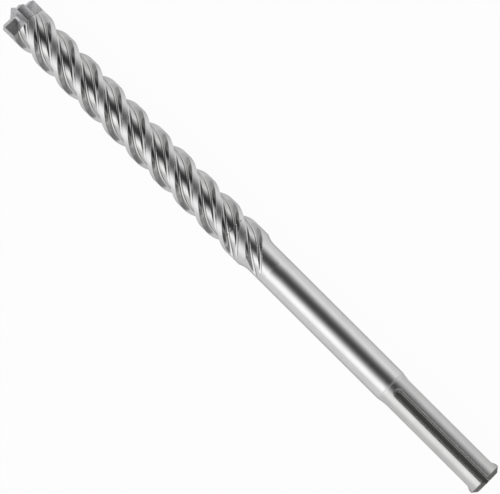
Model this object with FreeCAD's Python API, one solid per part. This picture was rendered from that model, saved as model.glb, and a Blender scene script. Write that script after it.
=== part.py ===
import FreeCAD, Part
import math
import os

# Rotary hammer drill bit with a slotted shank, four flutes and a four-wing carbide head.
# Millimetres and degrees. The origin is the centre of the shank's rear face. +X runs along the axis to the tip,
# +Z is up through the single drive slot. Angles round the axis start at +Y and turn towards +Z.

# Shank, measured from its rear face
shank_diameter = 18.0
shank_length = 64.0
rear_chamfer_length = 2.0
rear_chamfer_depth = 2.5
rear_chamfer_crown = 0.25

# Two long closed locking recesses, one on each side of the shank
recess_depth = 1.1
recess_end_distance = 3.3
recess_rear_ramp_length = 2.4
recess_front_ramp_length = 4.8

# Three drive slots, open at the rear face: one on top and a pair below
slot_mouth_width = 5.2
slot_floor_width = 2.5
slot_depth = 2.7
slot_end_margin = 2.1
slot_top_angle = 90.0
slot_pair_angle = 270.0
slot_pair_half_angle = 35.0

# Plain neck between the shank and the fluted part
neck_diameter = 17.3
neck_length = 88.3
neck_rear_cone_length = 1.3
shoulder_cone_length = 2.9

# Fluted part
fluted_length = 152.5
fluted_rear_diameter = 20.0
fluted_front_diameter = 20.3
flute_count = 4
flute_lead = 63.0
land_half_angle = 10.5
flank_angle = 24.5
flute_core_radius = 7.3
short_flute_start = 13.5
long_flute_reach = 0.3
run_out_radius = 19.0
run_out_step = 1.5
run_out_overtravel = 1.5
run_out_clearance = 1.0
cutter_top_share = 0.2
cutter_overshoot = 1.0

# Carbide head, brazed flat on the front of the fluted part
head_diameter = 20.6
head_back_taper = 0.1
head_angle = 111.0
wing_thickness = 4.4
major_edge_height = 8.5
minor_edge_height = 7.3
leading_edge_drop = 1.6
trailing_edge_drop = 1.1
wing_corner_chamfer = 1.4
wing_root_radius = 2.0
head_base_flare = 3.4
head_base_radius = 6.9
point_height = 11.0
point_half_angle = 49.0
edge_run_past = 2.0

# The rest follows from the sizes above
shank_radius = shank_diameter / 2
neck_radius = neck_diameter / 2
slot_length = shank_length - slot_end_margin
neck_start = shank_length + neck_rear_cone_length
shoulder_start = neck_start + neck_length
fluted_start = shoulder_start + shoulder_cone_length
seam = fluted_start + fluted_length
degrees_per_length = 360.0 / flute_lead
flute_pitch_angle = 360.0 / flute_count

# Along the fluted part, whose own x starts at the shoulder's front edge
long_flute_start = long_flute_reach - shoulder_cone_length
run_out_depth = fluted_rear_diameter / 2 - flute_core_radius
run_out_length = math.sqrt(2 * run_out_radius * run_out_depth) + run_out_overtravel
stub_start = long_flute_start - run_out_length - run_out_clearance


def at(x, radius, angle):
    """A point at a distance along the axis, a radius and an angle round it."""
    turn = math.radians(angle)
    return FreeCAD.Vector(x, radius * math.cos(turn), radius * math.sin(turn))


def line(start, end):
    return Part.LineSegment(start, end).toShape()


def bowed(start, end, crown, centre):
    """An arc from start to end that stands out from the straight line by crown, away from centre."""
    middle = (start + end) * 0.5
    outward = middle - centre
    chord = (end - start).normalize()
    outward = (outward - chord * outward.dot(chord)).normalize()
    return Part.Arc(start, middle + outward * crown, end).toShape()


def turned(edges):
    """The solid swept by an outline that turns once round the axis."""
    face = Part.Face(Part.Wire(edges))
    return face.revolve(FreeCAD.Vector(0, 0, 0), FreeCAD.Vector(1, 0, 0), 360)


def turned_bar(outline):
    """The turned solid under an outline of distances along the axis and radii."""
    first, last = outline[0], outline[-1]
    corners = [FreeCAD.Vector(x, 0, radius) for x, radius in outline + [(last[0], 0), (first[0], 0)]]
    return turned([line(a, b) for a, b in zip(corners, corners[1:] + corners[:1])])


def shank_blank():
    """The turned shank and neck, up to the stub of neck that the fluted part starts with."""
    outline = [
        (rear_chamfer_length, shank_radius),
        (shank_length, shank_radius),
        (neck_start, neck_radius),
        (fluted_start + stub_start, neck_radius),
        (fluted_start + stub_start, 0),
        (0, 0),
        (0, shank_radius - rear_chamfer_depth),
    ]
    corners = [FreeCAD.Vector(x, 0, radius) for x, radius in outline]
    edges = [line(a, b) for a, b in zip(corners, corners[1:])]
    edges.append(bowed(corners[-1], corners[0], rear_chamfer_crown, FreeCAD.Vector(shank_radius, 0, 0)))
    return turned(edges)


def land_radius(x):
    """The lands taper a little from the head to the shoulder."""
    share = x / fluted_length
    return (fluted_rear_diameter + (fluted_front_diameter - fluted_rear_diameter) * share) / 2


def land_angle(x, index):
    """The angle of a land's middle."""
    return degrees_per_length * x + index * flute_pitch_angle


def flute_points(x, index):
    """A flute's outline at x: its edge on each land, each flank's foot and the floor's middle between them."""
    near = land_angle(x, index) + land_half_angle
    far = land_angle(x, index + 1) - land_half_angle
    near_foot = at(x, flute_core_radius, near + flank_angle)
    middle = at(x, flute_core_radius, (near + far) / 2)
    far_foot = at(x, flute_core_radius, far - flank_angle)
    return at(x, land_radius(x), near), near_foot, middle, far_foot, at(x, land_radius(x), far)


def along_the_twist(sections, start, end):
    """The solid that turns with the flutes through these outlines, from start to end along the axis."""
    spine = Part.Wire([line(at(start, 0, 0), at(end, 0, 0))])
    helix = Part.makeHelix(flute_lead, end - start, neck_radius)
    helix.rotate(FreeCAD.Vector(0, 0, 0), FreeCAD.Vector(0, 1, 0), 90)
    helix.translate(at(start, 0, 0))
    pipe = Part.BRepOffsetAPI.MakePipeShell(spine)
    pipe.setAuxiliarySpine(Part.Wire(helix.Edges), False, 0)
    for section in sections:
        pipe.add(section)
    pipe.build()
    pipe.makeSolid()
    return pipe.shape()


def cutter_top(x, index):
    """The outer side of a flute's cutter, which stands clear of the bar, and its two ends."""
    near_edge, near_foot, middle, far_foot, far_edge = flute_points(x, index)
    near_top = near_edge + (near_edge - near_foot) * cutter_top_share
    far_top = far_edge + (far_edge - far_foot) * cutter_top_share
    outward = at(0, 1, land_angle(x, index) + flute_pitch_angle / 2)
    crest = at(x, 0, 0) + outward * (land_radius(x) * (1 + cutter_top_share))
    return near_top, crest, far_top, outward


def flank_cutter_section(x, index):
    """Both flanks of a flute, carried on to the line where they meet below its floor."""
    near_edge, near_foot, middle, far_foot, far_edge = flute_points(x, index)
    near_top, crest, far_top, outward = cutter_top(x, index)
    half_floor = (far_foot - near_foot) * 0.5
    flank = near_foot - near_edge
    across = FreeCAD.Vector(half_floor).normalize()
    meeting = near_foot + flank * (half_floor.Length / flank.dot(across))
    return Part.Wire([
        line(near_top, meeting),
        line(meeting, far_top),
        Part.Arc(far_top, crest, near_top).toShape(),
    ])


def run_out_section(x, index, lift):
    """A flute's whole outline, moved outwards by lift."""
    near_edge, near_foot, middle, far_foot, far_edge = flute_points(x, index)
    near_top, crest, far_top, outward = cutter_top(x, index)
    wire = Part.Wire([
        line(near_top, near_foot),
        Part.Arc(near_foot, middle, far_foot).toShape(),
        line(far_foot, far_top),
        Part.Arc(far_top, crest, near_top).toShape(),
    ])
    wire.translate(outward * lift)
    return wire


def fluted_front():
    """The bar in front of the run-outs: flanks cut into a turned blank, round a core that is the floor."""
    start, end = short_flute_start, fluted_length
    blank = turned_bar([(start, land_radius(start)), (end, land_radius(end))])
    cut_start, cut_end = start - cutter_overshoot, end + cutter_overshoot
    cutters = []
    for index in range(flute_count):
        sections = [flank_cutter_section(cut_start, index), flank_cutter_section(cut_end, index)]
        cutters.append(along_the_twist(sections, cut_start, cut_end))
    core = turned_bar([(start, flute_core_radius), (end, flute_core_radius)])
    return blank.cut(cutters).fuse(core)


def run_out(index, lift_start):
    """The rear end of one flute, which lifts out of the bar on an arc behind lift_start."""
    start = lift_start - run_out_length
    end = short_flute_start + cutter_overshoot
    length = end - start
    steps = math.ceil(length / run_out_step)
    sections = []
    for step in range(steps + 1):
        x = start + length * step / steps
        past = max(0.0, lift_start - x)
        sections.append(run_out_section(x, index, past ** 2 / (2 * run_out_radius)))
    return along_the_twist(sections, start, end)


def shoulder():
    """The neck's end, its shoulder cone and the lands' rear, where short and long flutes take turns."""
    start, end = stub_start, short_flute_start
    blank = turned_bar([
        (start, neck_radius),
        (-shoulder_cone_length, neck_radius),
        (0, land_radius(0)),
        (end, land_radius(end)),
    ])
    starts = [short_flute_start, long_flute_start]
    return blank.cut([run_out(index, starts[index % 2]) for index in range(flute_count)])


def fluted_part():
    """The fluted part in its place, turned so that its lands end behind the head's wings."""
    part = shoulder().fuse(fluted_front())
    turn = head_angle - degrees_per_length * fluted_length
    part.rotate(FreeCAD.Vector(0, 0, 0), FreeCAD.Vector(1, 0, 0), turn)
    part.translate(FreeCAD.Vector(fluted_start, 0, 0))
    return part


def drive_slot(angle):
    """The cutter of a tapered slot with a round inner end, at this angle round the shank."""
    floor = shank_radius - slot_depth
    above = shank_radius + slot_depth
    widening = (slot_mouth_width - slot_floor_width) / 2 / slot_depth
    half_floor = slot_floor_width / 2
    half_top = half_floor + widening * (above - floor)
    end = slot_length - slot_mouth_width / 2
    half = [(0, floor), (half_floor, floor), (half_top, above), (0, above)]
    points = [FreeCAD.Vector(end, y, z) for y, z in half]
    half_face = Part.Face(Part.makePolygon(points + points[:1]))
    full = [(-half_floor, floor), (half_floor, floor), (half_top, above), (-half_top, above)]
    points = [FreeCAD.Vector(end, y, z) for y, z in full]
    channel = Part.Face(Part.makePolygon(points + points[:1])).extrude(FreeCAD.Vector(-end - slot_depth, 0, 0))
    round_end = half_face.revolve(FreeCAD.Vector(end, 0, 0), FreeCAD.Vector(0, 0, 1), 360)
    slot = channel.fuse(round_end)
    slot.rotate(FreeCAD.Vector(0, 0, 0), FreeCAD.Vector(1, 0, 0), angle - slot_top_angle)
    return slot


def locking_recess(side):
    """A long flat-floored recess with a ramp at each end, up to the neck. side is 1 for +Y, -1 for -Y."""
    floor = shank_radius - recess_depth
    above = shank_radius + recess_depth
    rear = recess_end_distance
    front = neck_start
    outline = [
        (rear, shank_radius),
        (rear + recess_rear_ramp_length, floor),
        (front - recess_front_ramp_length, floor),
        (front, neck_radius),
        (front, above),
        (rear, above),
    ]
    points = [FreeCAD.Vector(x, side * y, -shank_radius) for x, y in outline]
    face = Part.Face(Part.makePolygon(points + points[:1]))
    return face.extrude(FreeCAD.Vector(0, 0, shank_diameter))


def steel_body():
    """The bar with its flutes, drive slots and locking recesses."""
    pair = [slot_pair_angle - slot_pair_half_angle, slot_pair_angle + slot_pair_half_angle]
    slots = [drive_slot(angle) for angle in [slot_top_angle] + pair]
    recesses = [locking_recess(1), locking_recess(-1)]
    return shank_blank().cut(slots + recesses).fuse(fluted_part()).removeSplitter()


def wing_pair(edge_height):
    """Two wings in one line through the axis, along Y, with a roof-shaped cutting edge on each."""
    half = wing_thickness / 2
    radius = head_diameter / 2
    ridge = seam + edge_height
    half_wings = []
    for side in (1, -1):
        outline = [
            (seam, -half),
            (ridge - trailing_edge_drop, -half),
            (ridge, 0),
            (ridge - leading_edge_drop, half),
            (seam, half),
        ]
        points = [FreeCAD.Vector(x, 0, side * z) for x, z in outline]
        face = Part.Face(Part.makePolygon(points + points[:1]))
        half_wings.append(face.extrude(FreeCAD.Vector(0, side * (radius + 1), 0)))
    outline = [
        (seam, radius - head_back_taper),
        (ridge - wing_corner_chamfer, radius),
        (ridge, radius - wing_corner_chamfer),
        (ridge, 0),
        (seam, 0),
    ]
    points = [FreeCAD.Vector(x, 0, r) for x, r in outline]
    envelope = turned([line(a, b) for a, b in zip(points, points[1:] + points[:1])])
    return half_wings[0].fuse(half_wings[1]).common(envelope)


def head_core():
    """The middle of the head: filleted wing roots on a base that flares out to the bar's core."""
    half = wing_thickness / 2
    reach = half + wing_root_radius
    eaves = seam + minor_edge_height - leading_edge_drop
    slant = wing_root_radius * (1 - math.sqrt(0.5))
    edges = []
    for quarter in range(4):
        turn = FreeCAD.Rotation(FreeCAD.Vector(1, 0, 0), 90 * quarter)
        start = turn.multVec(FreeCAD.Vector(seam, reach, -half))
        corner = turn.multVec(FreeCAD.Vector(seam, reach, half))
        middle = turn.multVec(FreeCAD.Vector(seam, half + slant, half + slant))
        finish = turn.multVec(FreeCAD.Vector(seam, half, reach))
        edges.append(line(start, corner))
        edges.append(Part.Arc(corner, middle, finish).toShape())
    roots = Part.Face(Part.Wire(edges)).extrude(FreeCAD.Vector(eaves - seam, 0, 0))
    narrow = (half + slant) * math.sqrt(2)
    flare = turned_bar([(seam, head_base_radius), (seam + head_base_flare, narrow)])
    return roots.fuse(flare)


def centre_point():
    """The four-sided centring point, whose edges run down into the wings' edges."""
    tip = FreeCAD.Vector(seam + point_height, 0, 0)
    depth = point_height - minor_edge_height + edge_run_past
    reach = depth * math.tan(math.radians(point_half_angle))
    base = [at(tip.x - depth, reach, 90 * quarter) for quarter in range(4)]
    square = Part.makePolygon(base + base[:1])
    faces = [Part.Face(Part.makePolygon([a, b, tip, a])) for a, b in zip(base, base[1:] + base[:1])]
    pyramid = Part.Solid(Part.Shell(faces + [Part.Face(square)]))
    half = wing_thickness / 2 + wing_root_radius
    low = seam + minor_edge_height - leading_edge_drop
    trim = Part.makeCylinder(half, point_height, FreeCAD.Vector(low, 0, 0), FreeCAD.Vector(1, 0, 0))
    return pyramid.common(trim)


def carbide_head():
    """The cross-shaped head, turned so that its wings carry on the lands."""
    major = wing_pair(major_edge_height)
    minor = wing_pair(minor_edge_height)
    minor.rotate(FreeCAD.Vector(0, 0, 0), FreeCAD.Vector(1, 0, 0), 90)
    head = major.fuse([minor, head_core(), centre_point()]).removeSplitter()
    head.rotate(FreeCAD.Vector(0, 0, 0), FreeCAD.Vector(1, 0, 0), head_angle)
    return head


def as_one_solid(shape, name):
    """The single solid in a result. A result in pieces means that the sizes don't fit together."""
    if len(shape.Solids) != 1:
        raise ValueError("%s came out as %d solids" % (name, len(shape.Solids)))
    return shape.Solids[0]


def main():
    os.makedirs("parts", exist_ok=True)
    pieces = {"steel_body": steel_body(), "carbide_head": carbide_head()}
    for name, shape in pieces.items():
        solid = as_one_solid(shape, name)
        solid.exportStep("parts/%s.step" % name)
        print(name, "volume %.1f mm3" % solid.Volume, "valid", solid.isValid())


main()
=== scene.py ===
import math

import bmesh
import bpy
import numpy as np
from mathutils import Matrix, Vector


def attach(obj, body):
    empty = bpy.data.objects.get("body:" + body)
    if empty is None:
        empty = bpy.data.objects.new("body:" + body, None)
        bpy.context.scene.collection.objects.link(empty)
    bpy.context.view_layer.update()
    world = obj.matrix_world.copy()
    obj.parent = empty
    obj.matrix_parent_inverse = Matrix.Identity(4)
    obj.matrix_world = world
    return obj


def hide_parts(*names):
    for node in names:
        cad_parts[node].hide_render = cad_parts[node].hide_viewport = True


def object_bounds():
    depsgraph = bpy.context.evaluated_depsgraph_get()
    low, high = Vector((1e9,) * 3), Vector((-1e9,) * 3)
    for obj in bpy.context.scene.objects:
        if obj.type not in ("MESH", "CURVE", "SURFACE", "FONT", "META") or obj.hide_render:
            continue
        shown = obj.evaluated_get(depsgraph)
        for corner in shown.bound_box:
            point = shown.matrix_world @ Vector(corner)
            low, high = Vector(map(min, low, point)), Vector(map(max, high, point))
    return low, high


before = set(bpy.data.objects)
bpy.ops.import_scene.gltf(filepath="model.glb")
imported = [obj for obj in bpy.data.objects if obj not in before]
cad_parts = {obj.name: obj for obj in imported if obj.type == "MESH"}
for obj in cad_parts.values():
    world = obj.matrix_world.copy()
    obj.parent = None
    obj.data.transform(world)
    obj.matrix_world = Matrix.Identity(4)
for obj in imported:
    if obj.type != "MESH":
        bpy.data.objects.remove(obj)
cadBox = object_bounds()
mm = 0.001
scene = bpy.context.scene


# The steel bar's own sizes in millimetres, measured along the axis from the shank's rear face.
bar = {
    "shankRadius": 9.0,
    "shankEnd": 64.0,
    "rearChamfer": (2.0, 2.5),      # length, depth
    "neckRadius": 8.65,
    "neckConeLength": 1.3,
    "neckLength": 88.3,
    "shoulderLength": 2.9,
    "shoulderFillet": 5.2,          # how far the shoulder's hollow curve reaches back
    "flutedLength": 152.5,
    "flutedRadii": (10.0, 10.15),   # at the shoulder, at the head
    "recessDepth": 1.1,
    "recessEnds": (3.3, 2.4, 54.8, 4.8),   # distance from the rear, ramp, floor, ramp
    "slotFloorHalf": 1.25,
    "slotMouthHalf": 2.6,
    "slotDepth": 2.7,
    "slotEnd": 61.9,
    "slotAngles": (90.0, 235.0, 305.0),
    "edgeRound": 0.3,               # how far an outer edge is softened
    "floorRound": 0.35,             # the same for the corner of a slot's floor
    "shoulderRound": 0.06,          # and for the shoulder's upper corner
    "frontChamfer": 0.17,           # at the seam with the head
}

# The four flutes. Angles are in degrees round the axis from +Y towards +Z.
flutes = {
    "count": 4,
    "lead": 63.0,
    "landHalf": 10.5,
    "ribHalf": 10.5,                # the floor's rib, which carries on the core
    "wallFoot": 20.0,               # where the hollow wall up to the land begins, from the flute's middle
    "wallPower": 2.6,               # how hollow that wall is
    "coreRadius": 7.4,
    "hollowRadius": 7.05,           # the deepest place beside the rib
    "headAngle": 111.0,
    "shortStart": 13.5,             # behind it the short flutes lift out, from the fluted part's rear end
    "longStart": 0.3,               # the same for the long ones, from the shoulder's rear end
    "runOutRadius": 19.0,
    "halfReach": 50,                # degrees, the furthest that a flute is looked for from its middle
    "liftLimit": 4,                 # a flute that is lifted further is out of the bar
}

# How finely the bar is drawn: steps in millimetres, and a count of rows for the plain neck
grid = {
    "flutedStep": 0.8,
    "runOutStep": 0.22,
    "slotStep": 0.2,
    "neckRows": 16,
    "twistStart": 4.0,              # in front of the shank's end the columns begin to turn with the flutes
}

# The search for a cut's surface along a ray from the axis
rayStart = 5.0
rayEnd = 14.0
noCut = 99.0

coneEnd = bar["shankEnd"] + bar["neckConeLength"]
shoulderStart = coneEnd + bar["neckLength"]
flutedStart = shoulderStart + bar["shoulderLength"]
seam = flutedStart + bar["flutedLength"]
fullFlutes = flutedStart + flutes["shortStart"]
runOutRear = shoulderStart - 9.0    # behind it no flute cuts the bar
neckFront = shoulderStart - 11.0    # from here on the columns turn with the flutes


def landRadius(x):
    rear, front = bar["flutedRadii"]
    return rear + (front - rear) * (x - flutedStart) / bar["flutedLength"]


def landAngle(x):
    return flutes["headAngle"] + 360 / flutes["lead"] * (x - seam)


def softMin(a, b, width):
    # the smaller of two heights, with the corner between them rounded off
    near = np.clip(1 - np.abs(a - b) / width, 0, 1)
    return np.minimum(a, b) - near * near * width / 4


def turnedRadius(x):
    length, depth = bar["rearChamfer"]
    # each corner is cut by a short line
    outline = [
        (0.0, bar["shankRadius"] - depth),
        (length - 0.12, bar["shankRadius"] - 0.17),
        (length + 0.12, bar["shankRadius"]),
        (bar["shankEnd"] - 0.3, bar["shankRadius"]),
        (bar["shankEnd"] + 0.2, bar["shankRadius"] - 0.07),
        (coneEnd - 0.2, bar["neckRadius"] + 0.06),
        (coneEnd + 0.3, bar["neckRadius"]),
    ]
    places, radii = zip(*outline)
    # the shoulder is one hollow curve from the lands down to the neck
    filletStart = flutedStart - bar["shoulderFillet"]
    share = np.clip((x - filletStart) / bar["shoulderFillet"], 0, 1)
    shoulder = bar["neckRadius"] + (landRadius(flutedStart) - bar["neckRadius"]) * share * share
    onwards = np.maximum(0, x - flutedStart) * 0.6
    shoulder = softMin(shoulder + onwards, landRadius(x), bar["shoulderRound"])
    return np.where(x < filletStart, np.interp(x, places, radii), shoulder)


def fluteProfile(aside, land):
    # the flute's outline as a radius at an angle in degrees from its middle: rib, hollow and wall
    edge = 180 / flutes["count"] - flutes["landHalf"]
    share = np.clip((aside - flutes["ribHalf"]) / (flutes["wallFoot"] - flutes["ribHalf"]), 0, 1)
    bottom = flutes["coreRadius"] - (flutes["coreRadius"] - flutes["hollowRadius"]) * share * (2 - share)
    climb = np.clip((aside - flutes["wallFoot"]) / (edge - flutes["wallFoot"]), 0, 2)
    return bottom + (land - flutes["hollowRadius"]) * climb ** flutes["wallPower"]


def rayMeets(isBelow, low, high, halvings):
    # where a ray comes out through a surface, found by halving the stretch between low and high
    for _ in range(halvings):
        reach = (low + high) / 2
        below = isBelow(reach)
        low = np.where(below, reach, low)
        high = np.where(below, high, reach)
    return (low + high) / 2


def angleFrom(angle, centre):
    return np.radians((angle - centre + 180) % 360 - 180)


def fluteRadius(x, angle, centre, start):
    # the flute lifts out of the bar behind its start
    lift = np.maximum(0, start - x) ** 2 / (2 * flutes["runOutRadius"])
    aside = np.abs(angleFrom(angle, centre))
    inside = (aside < math.radians(flutes["halfReach"])) & (lift < flutes["liftLimit"])
    aside = np.where(inside, aside, 0)
    lift = np.where(inside, lift, 0)
    land = landRadius(x)

    def isBelow(reach):
        across, out = reach * np.sin(aside), reach * np.cos(aside) - lift
        turn = np.degrees(np.arctan2(across, np.maximum(out, 0.01)))
        return np.hypot(across, out) < fluteProfile(turn, land)

    radius = rayMeets(isBelow, np.full_like(aside, rayStart), np.full_like(aside, rayEnd), 20)
    return np.where(inside & (radius < rayEnd - 0.1), radius, noCut)


def slotRadius(x, angle, centre):
    # a tapered slot with a round inner end
    aside = angleFrom(angle, centre)
    floor = bar["shankRadius"] - bar["slotDepth"]
    steep = bar["slotDepth"] / (bar["slotMouthHalf"] - bar["slotFloorHalf"])
    roundCentre = bar["slotEnd"] - bar["slotMouthHalf"]
    inside = np.abs(aside) < math.radians(40)
    aside = np.where(inside, aside, 0)

    def isBelow(reach):
        away = np.hypot(np.maximum(0, x - roundCentre), reach * np.sin(aside))
        wall = floor + steep * (away - bar["slotFloorHalf"])
        height = -softMin(-wall, -floor * np.ones_like(wall), bar["floorRound"] * steep)
        return reach * np.cos(aside) < height

    radius = rayMeets(isBelow, np.full_like(aside, floor), np.full_like(aside, rayEnd), 26)
    return np.where(inside, radius, noCut)


def recessRadius(x, angle):
    rear, ramp, floor, front = bar["recessEnds"]
    deep = bar["shankRadius"] - bar["recessDepth"]
    floorStart = rear + ramp
    floorEnd = floorStart + floor
    recessEnd = floorEnd + front
    # the corners between the ramps and the floor are eased, and in front of the neck nothing is cut
    outline = [
        (rear - 1.0, bar["shankRadius"] + 0.5),
        (rear, bar["shankRadius"]),
        (floorStart - 0.5, deep + 0.12),
        (floorStart + 0.5, deep),
        (floorEnd - 0.8, deep),
        (floorEnd + 0.8, deep + 0.12),
        (recessEnd, bar["neckRadius"]),
        (recessEnd + 1.5, bar["neckRadius"] + 0.25),
        (recessEnd + 2.5, rayEnd),
    ]
    places, heights = zip(*outline)
    flat = np.abs(np.cos(np.radians(angle)))
    return np.interp(x, places, heights) / np.maximum(flat, 0.2)


def barRadius(x, angle):
    x, angle = np.broadcast_arrays(x.astype(float), angle.astype(float))
    radius = turnedRadius(x)
    if x.max() > runOutRear:
        starts = (fullFlutes, shoulderStart + flutes["longStart"])
        pitch = 360 / flutes["count"]
        for index in range(flutes["count"]):
            centre = landAngle(x) + (index + 0.5) * pitch
            radius = softMin(radius, fluteRadius(x, angle, centre, starts[index % 2]), bar["edgeRound"])
    if x.min() < bar["slotEnd"]:
        for centre in bar["slotAngles"]:
            radius = softMin(radius, slotRadius(x, angle, centre), bar["edgeRound"])
        radius = softMin(radius, recessRadius(x, angle), bar["edgeRound"] / 3)
    return radius


def spread(breaks, counts):
    # stations between the breaks, closer together near each break
    stations = []
    for start, end, count in zip(breaks, breaks[1:], counts):
        share = np.arange(count) / count
        eased = share - np.sin(2 * np.pi * share) * 0.11
        stations.extend(start + (end - start) * eased)
    return np.array(stations)


def fluteStations():
    # one quarter holds a land, a wall and a hollow, the rib, and the other hollow and wall
    land, rib, wall = flutes["landHalf"], 45 - flutes["ribHalf"], flutes["landHalf"] + 5
    quarter = spread([-land, land, wall, rib, 90 - rib, 90 - wall, 90 - land], [10, 12, 11, 8, 11, 12])
    return np.concatenate([quarter + 90 * index for index in range(flutes["count"])])


def shankStations():
    # round the shank: a recess, the top slot, the other recess and the two slots below
    slotTop = math.degrees(math.asin(bar["slotMouthHalf"] / bar["shankRadius"]))
    slotFoot = math.degrees(math.atan2(bar["slotFloorHalf"], bar["shankRadius"] - bar["slotDepth"]))
    flat = math.degrees(math.acos(1 - bar["recessDepth"] / bar["shankRadius"]))
    top, *below = bar["slotAngles"]
    breaks = [-flat, flat]
    breaks += [top - slotTop, top - slotFoot, top + slotFoot, top + slotTop]
    breaks += [180 - flat, 180 + flat]
    counts = [28, 16, 14, 14, 14, 16, 28]
    for centre in below:
        breaks += [centre - slotTop, centre - slotFoot, centre + slotFoot, centre + slotTop]
        counts += [12, 14, 14, 14]
    breaks.append(360 - flat)
    counts.append(len(fluteStations()) - sum(counts))
    return spread(breaks, counts)


def axisStations():
    rear, ramp, floor, front = bar["recessEnds"]
    recessEnd = rear + ramp + floor + front
    slotEnd = bar["slotEnd"]
    lastRow = seam - 0.35
    rows = [
        np.array([0.0, 0.5, 1.0, 1.5]),                             # rear chamfer
        np.linspace(1.85, 2.2, 4),                                  # its front corner
        np.linspace(2.5, rear + ramp + 1.0, 16),                    # the recesses' rear ramps
        np.linspace(rear + ramp + 2.0, slotEnd - 4.0, 12),          # the straight part of the slots
        np.arange(slotEnd - 3.6, slotEnd + 0.9, grid["slotStep"]),  # their round ends
        np.linspace(slotEnd + 1.1, recessEnd + 1.6, 12),            # the shank's end
        np.linspace(recessEnd + 3.0, neckFront, grid["neckRows"]),
        np.arange(neckFront + 1.0, fullFlutes, grid["runOutStep"]),
        np.linspace(fullFlutes, lastRow, math.ceil((lastRow - fullFlutes) / grid["flutedStep"])),
        np.array([seam - 0.18]),
    ]
    return np.concatenate(rows)


def buildBar():
    # a net of rows along the axis and columns round it, which turn with the flutes in front of the neck
    x = axisStations()[:, None]
    straight = shankStations()[None, :]
    turning = fluteStations()[None, :]
    quarters = round((straight[0, 0] - turning[0, 0] - landAngle(neckFront)) / 90)
    turning = turning + landAngle(np.maximum(x, neckFront)) + quarters * 90
    twistStart = bar["shankEnd"] + grid["twistStart"]
    share = np.clip((x - twistStart) / (neckFront - twistStart), 0, 1)
    angle = straight * (1 - share) + turning * share
    x = x + np.zeros_like(angle)
    radius = barRadius(x, angle)
    x = np.vstack([x, np.full((2, x.shape[1]), seam)])
    angle = np.vstack([angle, angle[-1:], angle[-1:]])
    radius = np.vstack([radius, radius[-1:] - bar["frontChamfer"], radius[-1:] * 0.6])
    rows, columns = x.shape
    turn = np.radians(angle)
    points = np.stack([x, radius * np.cos(turn), radius * np.sin(turn)], axis=-1).reshape(-1, 3)
    ends = np.array([[0.0, 0, 0], [seam, 0, 0]])
    points = np.vstack([points, ends]) * mm
    first = np.arange(columns)
    after = (first + 1) % columns
    start = np.arange(rows - 1)[:, None] * columns
    here, beside = start + first, start + after
    quads = np.stack([here, beside, beside + columns, here + columns], axis=-1).reshape(-1, 4)
    last = (rows - 1) * columns
    rearFan = np.stack([np.full(columns, rows * columns), after, first], axis=-1)
    frontFan = np.stack([np.full(columns, rows * columns + 1), last + first, last + after], axis=-1)
    mesh = bpy.data.meshes.new("steel_bar")
    mesh.from_pydata(points.tolist(), [], quads.tolist() + rearFan.tolist() + frontFan.tolist())
    mesh.polygons.foreach_set("use_smooth", [True] * len(mesh.polygons))
    mesh.set_sharp_from_angle(angle=math.radians(35))
    piece = bpy.data.objects.new("steel_bar", mesh)
    scene.collection.objects.link(piece)
    print("steel bar:", rows, "rows,", columns, "columns")
    return piece


# The carbide head keeps the form of its solid, with every edge broken.
head = {
    "weld": 0.002,          # millimetres, corners nearer than this are one
    "flatAngle": 1.0,       # degrees between triangles that are one flat face
    "edgeAngle": 22.0,      # sharper corners than this get a chamfer
    "edgeWidth": 0.13,
}


def buildHead():
    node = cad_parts["carbide_head"]
    mesh = node.data.copy()
    mesh.name = "ground_head"
    net = bmesh.new()
    net.from_mesh(mesh)
    bmesh.ops.remove_doubles(net, verts=net.verts, dist=head["weld"] * mm)
    flat, edge = math.radians(head["flatAngle"]), math.radians(head["edgeAngle"])
    bmesh.ops.dissolve_limit(net, angle_limit=flat, verts=net.verts, edges=net.edges)
    sharp = [e for e in net.edges if e.is_manifold and e.calc_face_angle() > edge]
    bmesh.ops.bevel(net, geom=sharp, offset=head["edgeWidth"] * mm, offset_type="OFFSET", segments=2,
                    profile=0.6, affect="EDGES", clamp_overlap=True)
    bmesh.ops.triangulate(net, faces=[f for f in net.faces if len(f.verts) > 4])
    net.to_mesh(mesh)
    net.free()
    mesh.materials.clear()
    mesh.polygons.foreach_set("use_smooth", [True] * len(mesh.polygons))
    mesh.set_sharp_from_angle(angle=math.radians(25))
    piece = bpy.data.objects.new("ground_head", mesh)
    scene.collection.objects.link(piece)
    print("carbide head:", len(mesh.polygons), "faces")
    return piece


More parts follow.
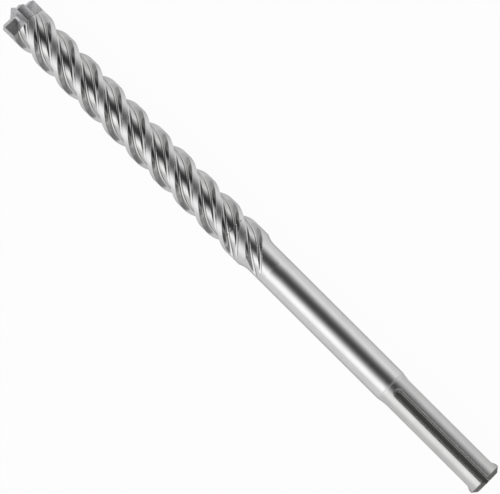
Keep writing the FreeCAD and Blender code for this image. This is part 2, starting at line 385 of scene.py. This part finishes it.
class Wire:
    # one output of a node, so that maths on it reads like ordinary maths
    def __init__(self, tree, socket=None):
        self.tree = tree
        self.socket = socket

    def add(self, kind, settings=None, sockets=None, out=0):
        node = self.tree.nodes.new("ShaderNode" + kind)
        for name, value in (settings or {}).items():
            if name == "stops":
                ramp = node.color_ramp
                while len(ramp.elements) < len(value):
                    ramp.elements.new(0.5)
                for element, (place, shade) in zip(ramp.elements, value):
                    element.position = place
                    element.color = (shade, shade, shade, 1)
            else:
                setattr(node, name, value)
        for name, value in (sockets or {}).items():
            if isinstance(value, Wire):
                self.tree.links.new(value.socket, node.inputs[name])
            else:
                node.inputs[name].default_value = value
        return Wire(self.tree, node.outputs[out] if node.outputs else None)

    def maths(self, operation, first, second=0.0):
        return self.add("Math", {"operation": operation}, {0: first, 1: second})

    def __add__(self, other):
        return self.maths("ADD", self, other)

    def __sub__(self, other):
        return self.maths("SUBTRACT", self, other)

    def __mul__(self, other):
        return self.maths("MULTIPLY", self, other)

    def __rsub__(self, other):
        return self.maths("SUBTRACT", other, self)

    __radd__ = __add__
    __rmul__ = __mul__

    def times(self, amounts):
        return self.add("VectorMath", {"operation": "MULTIPLY"}, {0: self, 1: amounts})

    def between(self, low, high):
        # 0 below low, 1 above high, smooth in between
        settings = {"interpolation_type": "SMOOTHSTEP"}
        return self.add("MapRange", settings, {"Value": self, "From Min": low, "From Max": high})

    def part(self, name):
        return self.add("SeparateXYZ", {}, {0: self}, out=name)

    def noise(self, scale, detail, roughness=0.5):
        sockets = {"Vector": self, "Scale": scale, "Detail": detail, "Roughness": roughness}
        return self.add("TexNoise", {}, sockets)

    def mix(self, first, second):
        # this wire is the second colour's share
        settings = {"data_type": "RGBA", "blend_type": "MIX"}
        return self.add("Mix", settings, {"Factor": self, 6: first, 7: second}, out=2)

    def bump(self):
        # this wire is a height in millimetres
        return self.add("Bump", {}, {"Height": self, "Distance": mm, "Strength": 1.0})


def newMaterial(name):
    material = bpy.data.materials.new(name)
    material.use_nodes = True
    material.node_tree.nodes.clear()
    return material, Wire(material.node_tree)


def millimetres(start):
    metres = start.add("TexCoord", out="Object")
    return start.add("VectorMath", {"operation": "SCALE"}, {0: metres, "Scale": 1 / mm})


# Polished steel: fine rings round the shank and neck, long marks along the flutes, painted shade in flutes,
# slots, rear end.
steel = {
    "colour": (0.63, 0.63, 0.63, 1),
    "darkColour": (0.28, 0.275, 0.27, 1),   # what each shade below leads towards, from 0 to 1
    "edgeColour": (0.5, 0.5, 0.5, 1),       # at a grazing look
    "shankShade": 0.3,
    "slotPaintedShade": 0.9,                       # painted shade on the slots' floors, down in the recess
    # painted shade on the rear chamfer and end face
    "chamferPaintedShade": 0.63,
    # painted shade in the flutes' hollows, off the lands
    "flutePaintedShade": 0.2,
    "streakShade": 0.34,                    # in the flutes' streaks
    "patchShade": 0.25,
    "roughness": 0.25,
    "fluteRoughness": 0.15,
    "shankRoughness": 0.05,                 # this and the next two are added to the roughness
    "milledRoughness": 0.5,                 # on the walls of the slots and in the recesses
    "landRoughness": 0.22,                  # on the lands, which are ground
    "patchRoughness": 0.06,                 # how far patches and streaks move it
    "streakRoughness": 0.10,
    "ringDepth": 0.0012,                    # millimetres
    "streakDepth": 0.010,
    "ringsPerMm": 9.0,
    "streaksPerMm": 1.3,
    "patchesPerMm": 0.12,
}

# Where the finishes give way to each other: from here to there, in millimetres from the axis
zones = {
    "slotFloor": (6.45, 7.0),
    "milledFrom": (6.6, 6.9),
    "milledTo": (8.7, 8.9),
    "land": (9.75, 9.95),
}


def steelMaterial():
    material, start = newMaterial("polished_steel")
    place = millimetres(start)
    along = place.part("X")
    across = place.times((0.0, 1.0, 1.0))
    outward = start.add("VectorMath", {"operation": "LENGTH"}, {0: across}, out="Value")
    inFlutes = along.between(shoulderStart - 4, fullFlutes)
    onLand = outward.between(*zones["land"])
    onShank = 1 - along.between(bar["shankEnd"] - 1, coneEnd + 1)
    inSlot = (1 - outward.between(*zones["slotFloor"])) * (1 - inFlutes)
    onChamfer = 1 - along.between(1.85, 2.2)
    milled = outward.between(*zones["milledFrom"]) * (1 - outward.between(*zones["milledTo"])) * onShank

    # the streaks lie along the flutes, so the place is turned back by the twist before it is stretched
    twist = along * (-2 * math.pi / flutes["lead"])
    turned = start.add("VectorRotate", {"rotation_type": "X_AXIS"}, {"Vector": place, "Angle": twist})
    streaks = turned.times((0.02, 1.0, 1.0)).noise(steel["streaksPerMm"], 4.0, 0.6)
    rings = place.times((1.0, 0.03, 0.03)).noise(steel["ringsPerMm"], 3.0)
    patches = place.noise(steel["patchesPerMm"], 3.0)
    marks = streaks * inFlutes * steel["streakDepth"] + rings * (1 - inFlutes) * steel["ringDepth"]

    rough = (steel["roughness"] + (steel["fluteRoughness"] - steel["roughness"]) * inFlutes
             + (patches - 0.5) * steel["patchRoughness"]
             + (streaks - 0.5) * inFlutes * steel["streakRoughness"]
             + onLand * steel["landRoughness"] + onShank * steel["shankRoughness"]
             + milled * steel["milledRoughness"])
    shade = (streaks.between(0.42, 0.72) * inFlutes * (1 - onLand) * steel["streakShade"]
             # the patches are the steel's own tone; the flutes off the lands get painted shade
             + (patches - 0.35) * steel["patchShade"] + inFlutes * (1 - onLand) * steel["flutePaintedShade"]
             # painted shade on the slots' floors and on the rear chamfer
             + inSlot * steel["slotPaintedShade"] + onChamfer * steel["chamferPaintedShade"]
             + onShank * steel["shankShade"])
    colour = shade.mix(steel["colour"], steel["darkColour"])
    shader = start.add("BsdfPrincipled", {}, {"Base Color": colour, "Metallic": 1.0, "Roughness": rough,
                                              "Specular Tint": steel["edgeColour"], "Normal": marks.bump()})
    start.add("OutputMaterial", {}, {"Surface": shader})
    print("steel finish made")
    return material


# Sintered carbide: matte and faintly grained.
carbide = {
    "colour": (0.54, 0.54, 0.55, 1),
    "patchColour": (0.40, 0.40, 0.41, 1),
    "roughness": 0.38,
    "grainRoughness": 0.15,
    "grainPerMm": 9.0,
    "grainDepth": 0.006,
    "patchesPerMm": 1.3,
}


def carbideMaterial():
    material, start = newMaterial("matte_carbide")
    place = millimetres(start)
    grain = place.noise(carbide["grainPerMm"], 5.0)
    patches = place.noise(carbide["patchesPerMm"], 3.0).between(0.35, 0.65)
    rough = carbide["roughness"] + (grain - 0.5) * carbide["grainRoughness"]
    colour = patches.mix(carbide["colour"], carbide["patchColour"])
    marks = grain * carbide["grainDepth"]
    shader = start.add("BsdfPrincipled", {}, {"Base Color": colour, "Metallic": 1.0, "Roughness": rough,
                                              "Normal": marks.bump()})
    start.add("OutputMaterial", {}, {"Surface": shader})
    print("carbide finish made")
    return material


# The studio: a white floor under a soft sky that is dark overhead and bright on both sides of the bit.
# Angles go round the bit's axis from straight up, positive towards +Y.
studio = {
    "floorColour": (0.86, 0.86, 0.86, 1),
    "floorHalf": 3.0,           # metres
    "floorGap": 0.0002,         # metres between the floor and the bit
    "floorGlow": 0.96,          # the share of plain white that the camera and the metal see on the floor
    "wheel": [(-140, 0.85), (-100, 0.95), (-84, 1.4), (-67, 1.45), (-52, 0.8), (-38, 0.3), (-25, 0.1),
              (-6, 0.06), (6, 0.16), (20, 0.7), (33, 1.6), (46, 2.1), (62, 1.95), (80, 1.25), (100, 0.95),
              (140, 0.9)],
    "shankEnd": 0.4,            # the sky's strength straight behind the shank
    "tipEnd": 0.95,             # and straight ahead of the tip
    "endFade": (0.45, 0.95),    # how far towards an end the wheel gives way to it
}


def buildFloor():
    height = cadBox[0][2] - studio["floorGap"]
    wide = studio["floorHalf"]
    corners = [(-wide, -wide, height), (wide, -wide, height), (wide, wide, height), (-wide, wide, height)]
    mesh = bpy.data.meshes.new("floor")
    mesh.from_pydata(corners, [], [(0, 1, 2, 3)])
    floor = bpy.data.objects.new("floor", mesh)
    scene.collection.objects.link(floor)
    material, start = newMaterial("pale_floor")
    matte = start.add("BsdfDiffuse", {}, {"Color": studio["floorColour"]})
    white = start.add("Emission", {}, {"Color": (1, 1, 1, 1), "Strength": 1.0})
    seen = start.add("LightPath", out="Is Camera Ray") + start.add("LightPath", out="Is Glossy Ray")
    seen = seen + start.add("LightPath", out="Is Transmission Ray")
    shader = start.add("MixShader", {}, {0: seen * studio["floorGlow"], 1: matte, 2: white})
    start.add("OutputMaterial", {}, {"Surface": shader})
    floor.data.materials.append(material)
    print("floor built")


def buildSky():
    world = bpy.data.worlds.new("studio")
    world.use_nodes = True
    world.node_tree.nodes.clear()
    start = Wire(world.node_tree)
    toward = start.add("TexCoord", out="Generated")
    side, up, ahead = toward.part("Y"), toward.part("Z"), toward.part("X")
    turn = side.maths("ARCTAN2", side, up) * (1 / (2 * math.pi)) + 0.5
    brightest = max(strength for _, strength in studio["wheel"])
    stops = [(0.5 + angle / 360, strength / brightest) for angle, strength in studio["wheel"]]
    wheel = start.add("ValToRGB", {"stops": stops}, {0: turn})
    wheel.socket.node.color_ramp.interpolation = "EASE"
    tip = ahead.between(*studio["endFade"])
    shank = (ahead * -1).between(*studio["endFade"])
    light = wheel * brightest * (1 - tip - shank) + tip * studio["tipEnd"] + shank * studio["shankEnd"]
    lamp = start.add("Background", {}, {"Strength": light})
    white = start.add("Background", {}, {"Strength": 1.0})
    shader = start.add("MixShader", {}, {0: start.add("LightPath", out="Is Camera Ray"), 1: lamp, 2: white})
    start.add("OutputWorld", {}, {"Surface": shader})
    scene.world = world
    scene.view_settings.view_transform = "Standard"
    print("sky built")


# The camera looks down on the bit from far away, a little from the shank's side.
view = {
    "aim": (158.6, 0.39, 0.0),      # millimetres, the point in the middle of the picture
    "distance": 2.37,
    "width": 0.2376,                # metres across the picture at that point
    "sensor": 36.0,
    "turn": 135.12,                 # degrees, the picture's turn round the line of sight
    "tilt": -2.5,                   # degrees from straight down, so that the tip lies further away
}


def buildCamera():
    data = bpy.data.cameras.new("camera")
    data.sensor_width = view["sensor"]
    data.lens = view["sensor"] * view["distance"] / view["width"]
    data.clip_end = 20.0
    camera = bpy.data.objects.new("camera", data)
    scene.collection.objects.link(camera)
    tilt = Matrix.Rotation(math.radians(view["tilt"]), 4, "Y")
    turn = Matrix.Rotation(math.radians(-view["turn"]), 4, "Z")
    facing = tilt @ turn
    aim = Vector(view["aim"]) * mm
    camera.matrix_world = Matrix.Translation(aim + facing @ Vector((0, 0, view["distance"]))) @ facing
    scene.camera = camera
    print("camera placed")


buildCamera()
steelBar = buildBar()
steelBar.data.materials.append(steelMaterial())
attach(steelBar, "root")
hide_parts("steel_body")
groundHead = buildHead()
groundHead.data.materials.append(carbideMaterial())
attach(groundHead, "root")
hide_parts("carbide_head")
buildFloor()
buildSky()
